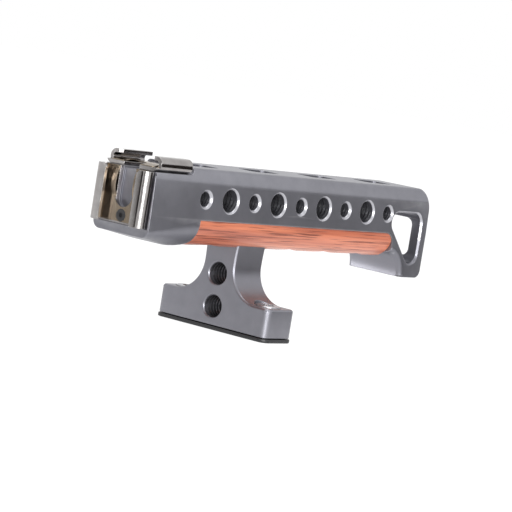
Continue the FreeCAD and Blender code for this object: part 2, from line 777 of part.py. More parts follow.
def make_grip(name, side):
    """Half of the wooden grip: side -1 is the left half, 1 the right one."""
    left = side < 0
    body = new_body(name)
    profile = new_sketch(body, "GripSide", "XZ_Plane", "wood_split" if left else "-wood_split")
    outline(
        profile,
        [
            ("wood_front", "wood_under"),
            ("scallop_first", "scallop_high"),
            ("scallop_second", "scallop_high"),
            ("scallop_third", "scallop_high"),
            ("scallop_fourth", "scallop_high"),
            ("scallop_fifth", "scallop_high"),
            ("wood_rear - wood_gap", "wood_tail"),
            ("wood_rear - wood_gap", "wood_end_z"),
            ("wood_end_x - wood_gap", "bar_under"),
            ("wood_front", "bar_under"),
        ],
        {
            0: ("belly_radius", 1),
            1: ("long_finger_radius", 1),
            2: ("long_finger_radius", 1),
            3: ("finger_radius", 1),
            4: ("finger_radius", 1),
            5: ("finger_radius", 1),
            7: ("wood_end_round", 1),
        },
    )
    pad(body, "Blank", profile, "wood_half", backwards=not left)

    sign, back = ("-", "") if left else ("", "-")
    out = "-" if left else "+"
    inward = "+" if left else "-"
    corner = new_sketch(body, "LowerCornerProfile", "YZ_Plane")
    outline(
        corner,
        [
            (f"{sign}body_half", "wood_under + wood_round"),
            (f"{sign}body_half {inward} wood_round", "wood_under"),
            (f"{sign}body_half {inward} wood_round", "wood_under - cut_over"),
            (f"{sign}body_half {out} cut_over", "wood_under - cut_over"),
            (f"{sign}body_half {out} cut_over", "wood_under + wood_round"),
        ],
        {0: ("wood_round", -side)},
    )
    pocket(body, "LowerCorner", corner, "all_through", midplane=True)

    # Room for the riser's flange and stem.
    room = new_sketch(body, "FlangeRoomProfile", "XY_Plane", "bar_under")
    rectangle(
        room,
        "flange_front - flange_clear",
        "flange_rear + flange_clear",
        "-stem_top_half - flange_clear",
        "stem_top_half + flange_clear",
    )
    pocket(body, "FlangeRoom", room, "flange_thick + flange_clear")
    way = new_sketch(body, "StemWayProfile", "XY_Plane", "bar_under")
    rectangle(
        way,
        "-foot_back - flange_clear",
        "foot_back + flange_clear",
        "-stem_top_half - flange_clear",
        "stem_top_half + flange_clear",
    )
    pocket(body, "StemWay", way, "bar_under")

    bores = new_sketch(body, "GripThreadProfile", "XY_Plane", "bar_under")
    for across in ("grip_first", "grip_second"):
        circle(bores, across, f"{sign}grip_screw_side", "grip_bore")
    pocket(body, "GripThreads", bores, "bar_under - grip_screw_end + screw_break")
    return body


def make_riser():
    """Stem and foot bar in one, with the flange that is bolted up under the bar."""
    body = new_body("riser_foot")
    front = new_sketch(body, "RiserFront", "YZ_Plane")
    outline(
        front,
        [
            ("-foot_half", "pad_top"),
            ("foot_half", "pad_top"),
            ("foot_half", "foot_top"),
            ("stem_arc_y", "foot_top"),
            ("stem_half", "stem_waist"),
            ("stem_top_half", "flange_under"),
            ("-stem_top_half", "flange_under"),
            ("-stem_half", "stem_waist"),
            ("-stem_arc_y", "foot_top"),
            ("-foot_half", "foot_top"),
        ],
        {
            3: ("stem_arc", -1),
            4: ("stem_flare", -1),
            6: ("stem_flare", -1),
            7: ("stem_arc", -1),
        },
    )
    pad(body, "StemAndFoot", front, "foot_depth", midplane=True)
    flange = new_sketch(body, "FlangeProfile", "XY_Plane", "flange_under")
    rectangle(flange, "flange_front", "flange_rear", "-stem_top_half", "stem_top_half")
    pad(body, "Flange", flange, "flange_thick")

    depth, length, top = size("foot_depth") / 2, size("foot_half"), size("foot_top")
    dress(
        body,
        "FootCorners",
        "Fillet",
        "foot_corner",
        lambda edge: near(abs(edge.BoundBox.Center.y), length)
        and near(abs(edge.BoundBox.Center.x), depth)
        and edge.BoundBox.ZLength > size("foot_corner"),
    )
    dress(
        body,
        "RiserEdges",
        "Chamfer",
        "riser_edge",
        lambda edge: top - 0.02 < edge.BoundBox.Center.z < size("flange_under") - 0.02
        and edge.BoundBox.ZMin > top - 0.02
        and (lies_at(edge, "x", depth) or lies_at(edge, "x", -depth) or lies_at(edge, "z", top))
        and abs(edge.BoundBox.Center.y) > size("stem_half")
        and not (lies_at(edge, "z", top) and near(abs(edge.BoundBox.Center.y), size("stem_arc_y"))),
    )

    for name, up in (("HighHole", "riser_hole_high"), ("LowHole", "riser_hole_low")):
        hole = new_sketch(body, name + "Profile", "YZ_Plane")
        circle(hole, "0", up, "riser_hole")
        pocket(body, name, hole, "all_through", midplane=True)
    dress(
        body,
        "RiserHoleMouths",
        "Chamfer",
        "riser_chamfer",
        lambda edge: edge.isClosed() and near(abs(edge.BoundBox.Center.x), depth),
    )

    recess = new_sketch(body, "CameraRecessProfile", "XY_Plane", "stem_waist")
    thread = new_sketch(body, "CameraThreadProfile", "XY_Plane", "stem_waist")
    for across in ("camera_y", "-camera_y"):
        circle(recess, "0", across, "camera_recess")
        circle(thread, "0", across, "camera_bore")
    pocket(body, "CameraRecesses", recess, "stem_waist - camera_recess_floor")
    pocket(body, "CameraThreads", thread, "stem_waist")

    bores = new_sketch(body, "RiserScrewBoreProfile", "XY_Plane", "bar_under")
    heads = new_sketch(body, "RiserScrewHeadProfile", "XY_Plane", "riser_head_top")
    for across in ("riser_bay", "riser_bay + riser_screw_gap"):
        circle(bores, across, "0", "riser_bore")
        circle(heads, across, "0", "riser_head_bore")
    pocket(body, "RiserScrewBores", bores, "flange_thick")
    pocket(body, "RiserScrewHeads", heads, "riser_screw_head_height")
    return body


def make_pad():
    """Rubber pad glued under the foot, with a low plateau that leaves a shadow gap."""
    body = new_body("foot_pad")
    plan = new_sketch(body, "PadPlan", "XY_Plane")
    rounded_rectangle(
        plan,
        "-foot_back - pad_rim",
        "foot_back + pad_rim",
        "-foot_half - pad_rim",
        "foot_half + pad_rim",
        "pad_round",
    )
    pad(body, "Sheet", plan, "pad_thick")
    plateau = new_sketch(body, "PlateauPlan", "XY_Plane", "pad_thick")
    rounded_rectangle(
        plateau,
        "-foot_back + pad_boss_inset",
        "foot_back - pad_boss_inset",
        "-foot_half + pad_boss_inset",
        "foot_half - pad_boss_inset",
        "foot_corner",
    )
    pad(body, "Plateau", plateau, "pad_boss_height")
    holes = new_sketch(body, "PadHoleProfile", "XY_Plane", "pad_top")
    for across in ("camera_y", "-camera_y"):
        circle(holes, "0", across, "camera_bore")
    pocket(body, "PadHoles", holes, "pad_top")
    return body


def make_shoe(prefix, setback=None):
    """Accessory shoe of folded sheet; its entry is at x = 0 and its seat at z = 0.

    setback is the length by which the rails stay behind the plate at the entry.
    """
    body = new_body(f"{prefix}_shoe")
    section = new_sketch(body, "ShoeSection", "YZ_Plane")
    outline(
        section,
        [
            ("-shoe_half + shoe_fold", "0"),
            ("shoe_half - shoe_fold", "0"),
            ("shoe_half", "shoe_fold"),
            ("shoe_half", "shoe_height - shoe_fold"),
            ("shoe_half - shoe_fold", "shoe_height"),
            ("shoe_mouth_half", "shoe_height"),
            ("shoe_mouth_half", "shoe_under_lip"),
            ("shoe_inner_half - shoe_inner_fold", "shoe_under_lip"),
            ("shoe_inner_half", "shoe_under_lip - shoe_inner_fold"),
            ("shoe_inner_half", "shoe_sheet + shoe_inner_fold"),
            ("shoe_inner_half - shoe_inner_fold", "shoe_sheet"),
            ("-shoe_inner_half + shoe_inner_fold", "shoe_sheet"),
            ("-shoe_inner_half", "shoe_sheet + shoe_inner_fold"),
            ("-shoe_inner_half", "shoe_under_lip - shoe_inner_fold"),
            ("-shoe_inner_half + shoe_inner_fold", "shoe_under_lip"),
            ("-shoe_mouth_half", "shoe_under_lip"),
            ("-shoe_mouth_half", "shoe_height"),
            ("-shoe_half + shoe_fold", "shoe_height"),
            ("-shoe_half", "shoe_height - shoe_fold"),
            ("-shoe_half", "shoe_fold"),
        ],
        {
            1: ("shoe_fold", 1),
            3: ("shoe_fold", 1),
            7: ("shoe_inner_fold", -1),
            9: ("shoe_inner_fold", -1),
            11: ("shoe_inner_fold", -1),
            13: ("shoe_inner_fold", -1),
            17: ("shoe_fold", 1),
            19: ("shoe_fold", 1),
        },
    )
    pad(body, "FoldedSheet", section, f"{prefix}_shoe_length")
    entry = 0.0
    if setback:
        trim = new_sketch(body, "RailTrimProfile", "XY_Plane", "shoe_height")
        rectangle(trim, "-cut_over", setback, "-shoe_half - cut_over", "shoe_half + cut_over")
        pocket(body, "RailTrim", trim, "shoe_height - shoe_sheet")
        entry = size(setback)
    mouth = size("shoe_mouth_half")
    dress(
        body,
        "LeadIn",
        "Chamfer",
        "shoe_lead",
        lambda edge: lies_at(edge, "x", entry)
        and (lies_at(edge, "y", mouth) or lies_at(edge, "y", -mouth)),
    )
    cut = new_sketch(body, "ShoeCutProfile", "XY_Plane", "shoe_sheet")
    tongue(cut, "-cut_over", f"{prefix}_shoe_cut_x", "shoe_cut_half")
    pocket(body, "ShoeCut", cut, "shoe_sheet")
    hole = new_sketch(body, "ShoeScrewHoleProfile", "XY_Plane", "shoe_sheet")
    circle(hole, f"{prefix}_shoe_screw_x", "0", "shoe_bore")
    pocket(body, "ShoeScrewHole", hole, "shoe_sheet")
    dress(
        body,
        "ShoeScrewSink",
        "Chamfer",
        "shoe_sink",
        lambda edge: edge.isClosed() and lies_at(edge, "z", size("shoe_sheet")),
    )
    return body


def make_spring(prefix):
    """Leaf spring with two arched legs that takes up play in the shoe."""
    body = new_body(f"{prefix}_shoe_spring")
    length, cut_x = f"{prefix}_spring_length", f"{prefix}_spring_cut_x"
    side = new_sketch(body, "SpringSide", "XZ_Plane")
    outline(
        side,
        [
            ("0", "shoe_sheet"),
            ("spring_flat", "shoe_sheet"),
            (cut_x, "shoe_sheet"),
            (length, "shoe_sheet"),
            (length, "spring_top"),
            (cut_x, "spring_top"),
            ("spring_flat", "spring_top"),
            ("0", "spring_top"),
        ],
        {1: (f"{prefix}_spring_arch", -1), 5: (f"{prefix}_spring_arch", 1)},
    )
    pad(body, "Leaf", side, "spring_half + spring_half", midplane=True)
    cut = new_sketch(body, "SpringCutProfile", "XY_Plane", "shoe_height")
    tongue(cut, "-cut_over", cut_x, "spring_cut_half")
    pocket(body, "SpringCut", cut, "shoe_height")
    hole = new_sketch(body, "SpringHoleProfile", "XY_Plane", "spring_top")
    circle(hole, f"{prefix}_shoe_screw_x", "0", "spring_bore")
    pocket(body, "SpringHole", hole, "shoe_sheet")
    dress(
        body,
        "SpringSink",
        "Chamfer",
        "spring_sink",
        lambda edge: edge.isClosed() and lies_at(edge, "z", size("spring_top")),
    )
    return body


def make_screw(name, profile, socket, socket_depth):
    """Turned screw: its axis is Z and the top of its head lies at z = 0."""
    body = new_body(name)
    half = new_sketch(body, "HalfProfile", "XZ_Plane")
    outline(half, profile)
    turned = body.newObject("PartDesign::Revolution", "Turned")
    turned.Profile = half
    turned.ReferenceAxis = (half, ["V_Axis"])
    doc.recompute()
    drive = new_sketch(body, "SocketProfile", "XY_Plane")
    corner = f"{socket}_corner"
    outline(
        drive,
        [
            (corner, "0"),
            (f"{corner}/2", f"{socket}/2"),
            (f"-{corner}/2", f"{socket}/2"),
            ("-" + corner, "0"),
            (f"-{corner}/2", f"-{socket}/2"),
            (f"{corner}/2", f"-{socket}/2"),
        ],
    )
    pocket(body, "Socket", drive, socket_depth)
    return body


def countersunk(kind):
    """Half profile of a countersunk screw."""
    shank, head, length = f"{kind}_shank", f"{kind}_head", f"{kind}_length"
    return [
        ("0", "0"),
        (f"{head}/2", "0"),
        (f"{shank}/2", f"-{head}/2 + {shank}/2"),
        (f"{shank}/2", f"-{length} + screw_break"),
        (f"{shank}/2 - screw_break", f"-{length}"),
        ("0", f"-{length}"),
    ]


def cap_screw(kind):
    """Half profile of a cylinder head screw."""
    shank, head, length = f"{kind}_shank", f"{kind}_head", f"{kind}_length"
    height = f"{kind}_head_height"
    return [
        ("0", "0"),
        (f"{head}/2 - screw_break", "0"),
        (f"{head}/2", "-screw_break"),
        (f"{head}/2", f"-{height}"),
        (f"{shank}/2", f"-{height}"),
        (f"{shank}/2", f"-{height} - {length} + screw_break"),
        (f"{shank}/2 - screw_break", f"-{height} - {length}"),
        ("0", f"-{height} - {length}"),
    ]


def camera_screw():
    """Half profile of a captive camera screw: head, thin neck, threaded end."""
    return [
        ("0", "0"),
        ("camera_head/2 - screw_break", "0"),
        ("camera_head/2", "-screw_break"),
        ("camera_head/2", "-camera_head_height"),
        ("camera_neck/2", "-camera_head_height"),
        ("camera_neck/2", "-camera_neck_end"),
        ("camera_thread/2 - screw_break", "-camera_neck_end"),
        ("camera_thread/2", "-camera_neck_end - screw_break"),
        ("camera_thread/2", "-camera_screw_length + screw_break"),
        ("camera_thread/2 - screw_break", "-camera_screw_length"),
        ("0", "-camera_screw_length"),
    ]


def set_place(body, base, turn=None):
    """Ties a sub-part's place to cells; turn is its rotation."""
    if turn:
        body.Placement = FreeCAD.Placement(V(0, 0, 0), turn)
    for axis, terms in zip("xyz", base):
        if terms != "0":
            body.setExpression(f"Placement.Base.{axis}", bound(terms))
    doc.recompute()


def group(name, members):
    """One node for identical fasteners, kept as separate solids."""
    compound = doc.addObject("Part::Compound", name)
    compound.Label = name
    compound.Links = members
    doc.recompute()
    return compound


upside_down = FreeCAD.Rotation(V(1, 0, 0), 180)
# The front shoe stands on end: its x points down, its z forward.
on_front = FreeCAD.Rotation(V(0, 0, -1), V(0, -1, 0), V(-1, 0, 0), "XYZ")
front_shoe_base = ("front_seat_x", "0", "front_shoe_top")
top_shoe_base = ("top_shoe_x", "0", "top_seat")

nodes = [make_handle_body()]
nodes.append(make_grip("wood_grip_left", -1))
nodes.append(make_grip("wood_grip_right", 1))

grip_screws = []
for number, (across, aside) in enumerate(
    [(a, b) for a in ("grip_first", "grip_second") for b in ("-grip_screw_side", "grip_screw_side")],
    start=1,
):
    screw = make_screw(
        f"GripScrew{number}",
        countersunk("grip_screw"),
        "grip_screw_socket",
        "grip_screw_socket_depth",
    )
    set_place(screw, (across, aside, "pocket_floor"))
    grip_screws.append(screw)
nodes.append(group("grip_screws", grip_screws))

nodes.append(make_riser())
riser_screws = []
for number, across in enumerate(("riser_bay", "riser_bay + riser_screw_gap"), start=1):
    screw = make_screw(
        f"RiserScrew{number}",
        cap_screw("riser_screw"),
        "riser_screw_socket",
        "riser_screw_socket_depth",
    )
    set_place(screw, (across, "0", "flange_under"), upside_down)
    riser_screws.append(screw)
nodes.append(group("riser_screws", riser_screws))
nodes.append(make_pad())

camera_screws = []
for number, aside in enumerate(("-camera_y", "camera_y"), start=1):
    screw = make_screw(
        f"CameraScrew{number}", camera_screw(), "camera_socket", "camera_socket_depth"
    )
    set_place(screw, ("0", aside, "camera_head_top"))
    camera_screws.append(screw)
nodes.append(group("camera_screws", camera_screws))

for prefix, base, turn, setback in (
    ("top", top_shoe_base, None, "rail_setback"),
    ("front", front_shoe_base, on_front, None),
):
    shoe = make_shoe(prefix, setback)
    set_place(shoe, base, turn)
    nodes.append(shoe)
    spring = make_spring(prefix)
    set_place(spring, base, turn)
    nodes.append(spring)

shoe_screws = []
for number, (base, turn) in enumerate(
    (
        (("top_shoe_x + top_shoe_screw_x", "0", "top_seat + spring_top"), None),
        (("front_seat_x - spring_top", "0", "front_shoe_low + shoe_screw_inset"), on_front),
    ),
    start=1,
):
    screw = make_screw(
        f"ShoeScrew{number}",
        countersunk("shoe_screw"),
        "shoe_screw_socket",
        "shoe_screw_socket_depth",
    )
    set_place(screw, base, turn)
    shoe_screws.append(screw)
nodes.append(group("shoe_screws", shoe_screws))

doc.recompute()
for item in doc.Objects:
    if "Invalid" in item.State or "Error" in item.State:
        raise RuntimeError(f"{item.Name} is in state {item.State}")
os.makedirs("parts", exist_ok=True)
for node in nodes:
    shape = node.Shape
    if shape.isNull() or not shape.isValid():
        raise RuntimeError(f"{node.Label} has no valid shape")
    shape.exportStep(f"parts/{node.Label}.step")
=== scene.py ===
import math

import bmesh
import bpy
from mathutils import Matrix, Vector


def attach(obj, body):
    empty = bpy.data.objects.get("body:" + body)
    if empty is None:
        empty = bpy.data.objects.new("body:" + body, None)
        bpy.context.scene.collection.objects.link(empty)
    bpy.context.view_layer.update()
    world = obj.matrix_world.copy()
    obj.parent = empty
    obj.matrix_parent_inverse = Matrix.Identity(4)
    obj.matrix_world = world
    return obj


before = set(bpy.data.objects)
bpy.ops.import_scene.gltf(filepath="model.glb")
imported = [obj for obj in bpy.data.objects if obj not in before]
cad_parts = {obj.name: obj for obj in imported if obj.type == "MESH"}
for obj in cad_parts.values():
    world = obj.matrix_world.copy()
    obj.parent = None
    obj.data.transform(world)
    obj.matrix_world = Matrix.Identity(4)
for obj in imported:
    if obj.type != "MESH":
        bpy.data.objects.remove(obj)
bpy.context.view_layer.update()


# Viewpoint: a long lens a good metre away, a little above the handle, that looks along
# it from the front left. Its place and turn come from a camera fitted to the picture.
focal_pixels = 2466.92
picture_pixels = 512
view_data = bpy.data.cameras.new("Viewpoint")
view_data.sensor_width = 36
view_data.lens = view_data.sensor_width * focal_pixels / picture_pixels
view_data.clip_start = 0.05
view_data.clip_end = 20
viewpoint = bpy.data.objects.new("Viewpoint", view_data)
bpy.context.scene.collection.objects.link(viewpoint)
view_right = Vector((0.63020019, -0.75973439, 0.16016047))
view_up = Vector((-0.03235719, 0.18039989, 0.98306098))
view_back = Vector((-0.77575816, -0.62470756, 0.08910517))
view_turn = Matrix((view_right, view_up, view_back)).transposed()
view_place = Vector((-0.694997, -0.569681, 0.108925))
viewpoint.matrix_world = Matrix.Translation(view_place) @ view_turn.to_4x4()
bpy.context.scene.camera = viewpoint


# Studio: a sheet of pale paper under the foot and a white surround. Both show as white
# to the lens and in reflections, and the paper keeps part of the shadow on it.
def connect(material, source, target):
    """Joins an output socket to an input socket."""
    material.node_tree.links.new(source, target)


def add_node(material, kind, **settings):
    """One node of a material; settings are its own properties."""
    node = material.node_tree.nodes.new("ShaderNode" + kind)
    for name, value in settings.items():
        setattr(node, name, value)
    return node


def seen_directly(material):
    """Factor that is 1 for lens, glossy and transmitted rays."""
    rays = add_node(material, "LightPath")
    glossy = add_node(material, "Math", operation="MAXIMUM")
    connect(material, rays.outputs["Is Camera Ray"], glossy.inputs[0])
    connect(material, rays.outputs["Is Glossy Ray"], glossy.inputs[1])
    either = add_node(material, "Math", operation="MAXIMUM")
    connect(material, glossy.outputs[0], either.inputs[0])
    connect(material, rays.outputs["Is Transmission Ray"], either.inputs[1])
    return either.outputs[0]


surround = bpy.data.worlds.new("Surround")
surround.use_nodes = True
surround.node_tree.nodes.clear()
shown_white = add_node(surround, "Background")
shown_white.inputs["Color"].default_value = (1, 1, 1, 1)
shown_white.inputs["Strength"].default_value = 1.0
room_light = add_node(surround, "Background")
room_light.inputs["Color"].default_value = (0.97, 0.98, 1, 1)
room_light.inputs["Strength"].default_value = 0.38
choose = add_node(surround, "MixShader")
connect(surround, seen_directly(surround), choose.inputs[0])
connect(surround, room_light.outputs[0], choose.inputs[1])
connect(surround, shown_white.outputs[0], choose.inputs[2])
surround_out = add_node(surround, "OutputWorld")
connect(surround, choose.outputs[0], surround_out.inputs["Surface"])
bpy.context.scene.world = surround
bpy.context.scene.view_settings.view_transform = "Standard"

floor_reach = 3
gap_under_pad = 0.0002
floor_mesh = bpy.data.meshes.new("Floor")
sheet = bmesh.new()
bmesh.ops.create_grid(sheet, x_segments=1, y_segments=1, size=floor_reach)
bmesh.ops.translate(sheet, verts=sheet.verts, vec=(0, 0, -gap_under_pad))
sheet.to_mesh(floor_mesh)
sheet.free()
floor = bpy.data.objects.new("Floor", floor_mesh)
bpy.context.scene.collection.objects.link(floor)
paper = bpy.data.materials.new("FloorPaper")
paper.use_nodes = True
paper.node_tree.nodes.clear()
paper_lit = add_node(paper, "BsdfDiffuse")
paper_lit.inputs["Color"].default_value = (0.9, 0.9, 0.91, 1)
paper_glow = add_node(paper, "Emission")
paper_glow.inputs["Strength"].default_value = 0.3
paper_sum = add_node(paper, "AddShader")
connect(paper, paper_lit.outputs[0], paper_sum.inputs[0])
connect(paper, paper_glow.outputs[0], paper_sum.inputs[1])
paper_white = add_node(paper, "Emission")
paper_white.inputs["Strength"].default_value = 1.12
paper_share = add_node(paper, "Math", operation="MULTIPLY")
connect(paper, seen_directly(paper), paper_share.inputs[0])
paper_share.inputs[1].default_value = 0.86
paper_mix = add_node(paper, "MixShader")
connect(paper, paper_share.outputs[0], paper_mix.inputs[0])
connect(paper, paper_sum.outputs[0], paper_mix.inputs[1])
connect(paper, paper_white.outputs[0], paper_mix.inputs[2])
paper_out = add_node(paper, "OutputMaterial")
connect(paper, paper_mix.outputs[0], paper_out.inputs["Surface"])
floor_mesh.materials.append(paper)


# Lamps: a soft box overhead, a wide one beside the lens, a weak one at the side, and a
# small bounce in front of the hook.
def soft_lamp(name, place, aim, width, height, watts):
    """Soft box that points at aim."""
    lamp_data = bpy.data.lights.new(name, "AREA")
    lamp_data.shape = "RECTANGLE"
    lamp_data.size = width
    lamp_data.size_y = height
    lamp_data.energy = watts
    lamp = bpy.data.objects.new(name, lamp_data)
    lamp.location = place
    lamp.rotation_mode = "QUATERNION"
    lamp.rotation_quaternion = (Vector(aim) - Vector(place)).to_track_quat("-Z", "Y")
    bpy.context.scene.collection.objects.link(lamp)


soft_lamp("OverheadBox", (0.0, 0.0, 1.2), (0, 0, 0.05), 0.9, 0.9, 6.0)
soft_lamp("LensBox", (-0.82, -0.98, 0.12), (0, 0, 0.04), 1.1, 0.4, 17.0)
soft_lamp("SideBox", (0.5, -1.0, 0.7), (0, 0, 0.05), 0.5, 0.5, 1.5)
soft_lamp("HookBounce", (0.031, 0.05, 0.023), (0.093, 0, 0.03), 0.06, 0.04, 0.045)


# Flags: dark cards round the handle and flat on the paper. Bare metal mirrors them,
# which gives it its dark sides; they stay out of the direct view.
card_paint = bpy.data.materials.new("CardPaint")
card_paint.use_nodes = True
card_paint.node_tree.nodes.clear()
card_black = add_node(card_paint, "BsdfDiffuse")
card_black.inputs["Color"].default_value = (0.035, 0.028, 0.026, 1)
card_out = add_node(card_paint, "OutputMaterial")
connect(card_paint, card_black.outputs[0], card_out.inputs["Surface"])


def dark_card(name, place, aim, width, height):
    """Dark card that faces aim."""
    card_mesh = bpy.data.meshes.new(name)
    card_sheet = bmesh.new()
    bmesh.ops.create_grid(card_sheet, x_segments=1, y_segments=1, size=0.5)
    bmesh.ops.scale(card_sheet, verts=card_sheet.verts, vec=(width, height, 1))
    turn = (Vector(aim) - Vector(place)).to_track_quat("Z", "Y")
    bmesh.ops.transform(card_sheet, verts=card_sheet.verts, matrix=turn.to_matrix().to_4x4())
    bmesh.ops.translate(card_sheet, verts=card_sheet.verts, vec=place)
    card_sheet.to_mesh(card_mesh)
    card_sheet.free()
    card = bpy.data.objects.new(name, card_mesh)
    bpy.context.scene.collection.objects.link(card)
    card_mesh.materials.append(card_paint)
    card.visible_camera = False
    card.visible_shadow = False
    card.visible_diffuse = False


dark_card("RightCard", (0.33, -0.33, 0.05), (0, 0, 0.05), 0.3, 0.12)
dark_card("LeftCard", (-0.284, 0.094, 0.06), (0, 0, 0.05), 0.15, 0.14)
dark_card("LensCard", (-0.56, -0.22, 0.08), (0, 0, 0.05), 0.32, 0.3)
dark_card("FloorCard", (0.25, -0.25, 0.0005), (0.25, -0.25, 1), 0.36, 0.36)


# Handle bar: one piece of aluminium, milled, bead blasted and anodised grey. It holds
# the shoes in front, the cross threads, the crown pockets and the strap slot behind.
def new_finish(name, colour, metallic, roughness):
    """Material with one Principled shader; returns it, the shader and object coordinates."""
    finish = bpy.data.materials.new(name)
    finish.use_nodes = True
    finish.node_tree.nodes.clear()
    shader = add_node(finish, "BsdfPrincipled")
    shader.inputs["Base Color"].default_value = (*colour, 1)
    shader.inputs["Metallic"].default_value = metallic
    shader.inputs["Roughness"].default_value = roughness
    out = add_node(finish, "OutputMaterial")
    connect(finish, shader.outputs[0], out.inputs["Surface"])
    coordinates = add_node(finish, "TexCoord").outputs["Object"]
    return finish, shader, coordinates


def new_effect(name, takes, gives):
    """Shader node group with named sockets: takes maps names to (kind, default)."""
    group = bpy.data.node_groups.new(name, "ShaderNodeTree")
    for socket, (kind, default) in takes.items():
        made = group.interface.new_socket(
            name=socket, in_out="INPUT", socket_type="NodeSocket" + kind
        )
        if default is not None:
            made.default_value = default
    for socket, kind in gives.items():
        group.interface.new_socket(
            name=socket, in_out="OUTPUT", socket_type="NodeSocket" + kind
        )
    start = group.nodes.new("NodeGroupInput")
    end = group.nodes.new("NodeGroupOutput")
    return group, start, end


# Fine surface grain: two scales of noise, for a rougher spot here and there and a height.
grain_effect, grain_in, grain_out = new_effect(
    "SurfaceGrain",
    {"Place": ("Vector", None), "Fine Scale": ("Float", 2600.0), "Broad Scale": ("Float", 60.0)},
    {"Fine": "Float", "Broad": "Float"},
)
for socket, detail in (("Fine", 2.0), ("Broad", 4.0)):
    noise = grain_effect.nodes.new("ShaderNodeTexNoise")
    noise.inputs["Detail"].default_value = detail
    grain_effect.links.new(grain_in.outputs["Place"], noise.inputs["Vector"])
    grain_effect.links.new(grain_in.outputs[socket + " Scale"], noise.inputs["Scale"])
    grain_effect.links.new(noise.outputs["Fac"], grain_out.inputs[socket])

# Wear: brightens what stands out, such as edges, broken up by a noise.
wear_effect, wear_in, wear_out = new_effect(
    "EdgeWear", {"Place": ("Vector", None)}, {"Mask": "Float"}
)
shape_of_edge = wear_effect.nodes.new("ShaderNodeNewGeometry")
raised = wear_effect.nodes.new("ShaderNodeMapRange")
raised.inputs["From Min"].default_value = 0.5
raised.inputs["From Max"].default_value = 0.62
wear_effect.links.new(shape_of_edge.outputs["Pointiness"], raised.inputs["Value"])
patchy = wear_effect.nodes.new("ShaderNodeTexNoise")
patchy.inputs["Scale"].default_value = 220
wear_effect.links.new(wear_in.outputs["Place"], patchy.inputs["Vector"])
worn = wear_effect.nodes.new("ShaderNodeMath")
worn.operation = "MULTIPLY"
wear_effect.links.new(raised.outputs[0], worn.inputs[0])
wear_effect.links.new(patchy.outputs["Fac"], worn.inputs[1])
wear_effect.links.new(worn.outputs[0], wear_out.inputs["Mask"])


# Painted mouth highlight: marks slanted faces, such as the mouths of holes, that turn away
# from an axis and lie in a box round a middle point, for a painted highlight there.
mouth_highlight_effect, mouth_highlight_in, mouth_highlight_out = new_effect(
    "PaintedMouthHighlight",
    {
        "Place": ("Vector", None),
        "Middle": ("Vector", None),
        "Reach": ("Vector", None),
        "Axis": ("Vector", None),
    },
    {"Mask": "Float"},
)


def mouth_highlight_node(kind, operation, *sources):
    """Math node of the painted mouth highlight group, fed by sockets or numbers."""
    node = mouth_highlight_effect.nodes.new(kind)
    node.operation = operation
    for place, source in enumerate(sources):
        if isinstance(source, bpy.types.NodeSocket):
            mouth_highlight_effect.links.new(source, node.inputs[place])
        else:
            node.inputs[place].default_value = source
    return node.outputs["Value"] if operation == "DOT_PRODUCT" else node.outputs[0]


offset = mouth_highlight_node(
    "ShaderNodeVectorMath", "SUBTRACT", mouth_highlight_in.outputs["Place"], mouth_highlight_in.outputs["Middle"]
)
offset = mouth_highlight_node("ShaderNodeVectorMath", "ABSOLUTE", offset)
beyond = mouth_highlight_node("ShaderNodeVectorMath", "SUBTRACT", offset, mouth_highlight_in.outputs["Reach"])
parts = mouth_highlight_effect.nodes.new("ShaderNodeSeparateXYZ")
mouth_highlight_effect.links.new(beyond, parts.inputs[0])
furthest = mouth_highlight_node("ShaderNodeMath", "MAXIMUM", parts.outputs[0], parts.outputs[1])
furthest = mouth_highlight_node("ShaderNodeMath", "MAXIMUM", furthest, parts.outputs[2])
inside = mouth_highlight_node("ShaderNodeMath", "LESS_THAN", furthest, 0.0)
face_turn = mouth_highlight_effect.nodes.new("ShaderNodeNewGeometry").outputs["True Normal"]
along_axis = mouth_highlight_node("ShaderNodeVectorMath", "DOT_PRODUCT", face_turn, mouth_highlight_in.outputs["Axis"])
along_axis = mouth_highlight_node("ShaderNodeMath", "ABSOLUTE", along_axis)
half_slant, slant_spread = 0.68, 0.25
slanted = mouth_highlight_node("ShaderNodeMath", "COMPARE", along_axis, half_slant, slant_spread)
painted_highlight_mask = mouth_highlight_node("ShaderNodeMath", "MULTIPLY", inside, slanted)
mouth_highlight_effect.links.new(painted_highlight_mask, mouth_highlight_out.inputs["Mask"])


def place_effect(material, effect, coordinates):
    """One use of a shared effect in a material."""
    node = add_node(material, "Group", node_tree=effect)
    connect(material, coordinates, node.inputs["Place"])
    return node


def vary(material, mask, low, high):
    """Turns a mask into a value between low and high."""
    spread = add_node(material, "MapRange")
    spread.inputs["To Min"].default_value = low
    spread.inputs["To Max"].default_value = high
    connect(material, mask, spread.inputs["Value"])
    return spread.outputs[0]


def blend_colours(material, mask, first, second):
    """Colour that goes from first to second with a mask."""
    mix = add_node(material, "Mix", data_type="RGBA")
    mix.inputs[6].default_value = (*first, 1)
    mix.inputs[7].default_value = (*second, 1)
    connect(material, mask, mix.inputs[0])
    return mix


def roughen(material, shader, height, depth):
    """Bump from a height, with its depth in metres."""
    bump = add_node(material, "Bump")
    bump.inputs["Distance"].default_value = depth
    connect(material, height, bump.inputs["Height"])
    connect(material, bump.outputs[0], shader.inputs["Normal"])


